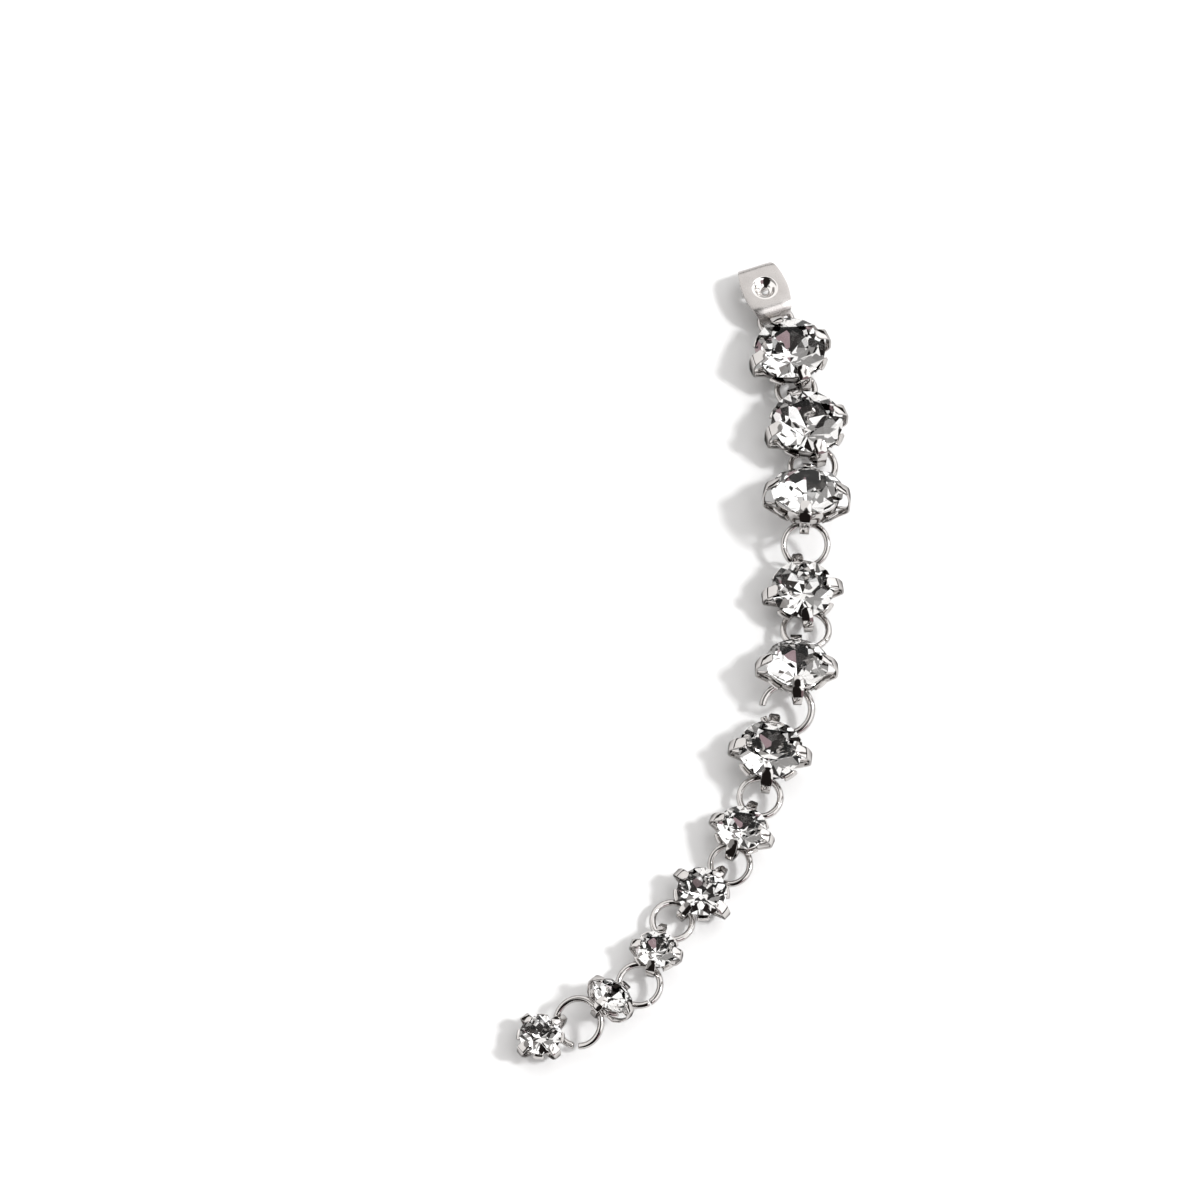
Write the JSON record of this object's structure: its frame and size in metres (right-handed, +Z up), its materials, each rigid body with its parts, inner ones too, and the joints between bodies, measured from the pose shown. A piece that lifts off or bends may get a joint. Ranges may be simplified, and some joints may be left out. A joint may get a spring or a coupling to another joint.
{
  "type": "chandelier earring",
  "caption": "Long rhinestone drop earring lying in a gentle curve: a butterfly clutch, then claw-set round stones that get smaller, each joined by a wire jump ring.",
  "frame": {"origin": "middle of the bottom of the bounding box, on the surface that the drop lies on", "axes": "+Y along the drop towards its clutch, +Z up, the tail curves towards -X"},
  "size_m": [0.0282, 0.0734, 0.0061],
  "materials": {
    "setting_metal": "polished white rhodium plate",
    "stone": "machine-cut clear crystal with a foiled back",
    "jump_ring_metal": "polished drawn wire, white rhodium plate",
    "clutch_metal": "soft satin pressed sheet"
  },
  "bodies": {
    "root": {"clutch": "clutch_metal", "setting_1": "setting_metal", "setting_2": "setting_metal", "setting_3": "setting_metal", "setting_4": "setting_metal", "setting_5": "setting_metal", "setting_6": "setting_metal", "setting_7": "setting_metal", "setting_8": "setting_metal", "setting_9": "setting_metal", "setting_10": "setting_metal", "setting_11": "setting_metal", "stone_1": "stone", "stone_2": "stone", "stone_3": "stone", "stone_4": "stone", "stone_5": "stone", "stone_6": "stone", "stone_7": "stone", "stone_8": "stone", "stone_9": "stone", "stone_10": "stone", "stone_11": "stone", "jump_ring_1": "jump_ring_metal", "jump_ring_2": "jump_ring_metal", "jump_ring_3": "jump_ring_metal", "jump_ring_4": "jump_ring_metal", "jump_ring_5": "jump_ring_metal", "jump_ring_6": "jump_ring_metal", "jump_ring_7": "jump_ring_metal", "jump_ring_8": "jump_ring_metal", "jump_ring_9": "jump_ring_metal", "jump_ring_10": "jump_ring_metal", "jump_ring_11": "jump_ring_metal"}
  },
  "joints": []
}
